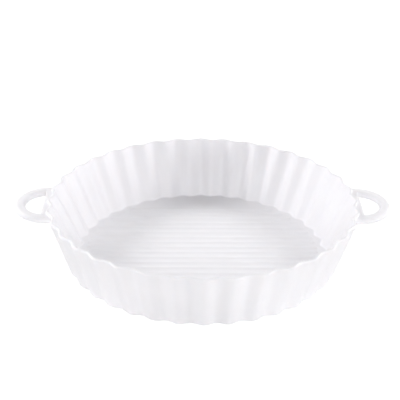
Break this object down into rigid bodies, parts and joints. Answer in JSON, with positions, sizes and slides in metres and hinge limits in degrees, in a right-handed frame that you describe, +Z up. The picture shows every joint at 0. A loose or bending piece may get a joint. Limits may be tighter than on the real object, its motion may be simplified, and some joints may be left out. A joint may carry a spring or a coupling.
{
  "type": "air fryer pan",
  "caption": "Round soft silicone pan with a leaning fluted wall, a flat floor with parallel raised ribs, a rounded rim lip and flexible loop handles, for baking in a fryer basket.",
  "frame": {"origin": "middle of the flat underside, where the pan rests", "axes": "+Z up out of the open top, +X through the right handle, +Y away from the front"},
  "size_m": [0.2472, 0.2054, 0.04],
  "materials": {
    "silicone": "satin, slightly translucent white silicone"
  },
  "bodies": {
    "pan": {"floor_panel": "silicone", "fluted_wall": "silicone", "rim_lip": "silicone", "floor_rib_01": "silicone", "floor_rib_02": "silicone", "floor_rib_03": "silicone", "floor_rib_04": "silicone", "floor_rib_05": "silicone", "floor_rib_06": "silicone", "floor_rib_07": "silicone", "floor_rib_08": "silicone", "floor_rib_09": "silicone", "floor_rib_10": "silicone", "floor_rib_11": "silicone", "floor_rib_12": "silicone", "floor_rib_13": "silicone", "floor_rib_14": "silicone", "floor_rib_15": "silicone", "floor_rib_16": "silicone", "floor_rib_17": "silicone", "floor_rib_18": "silicone", "left_handle_flange": "silicone", "right_handle_flange": "silicone"},
    "left_handle": {"left_handle": "silicone"},
    "right_handle": {"right_handle": "silicone"}
  },
  "joints": [
    {"name": "left_handle_flex", "type": "hinge", "parent": "pan", "child": "left_handle", "pos_m": [-0.1075, 0, 0.0357], "axis": [0, 1, 0], "range_deg": [-40, 80], "stiffness_Nm_per_rad": 0.02},
    {"name": "right_handle_flex", "type": "hinge", "parent": "pan", "child": "right_handle", "pos_m": [0.1075, 0, 0.0357], "axis": [0, -1, 0], "range_deg": [-40, 80], "stiffness_Nm_per_rad": 0.02}
  ]
}
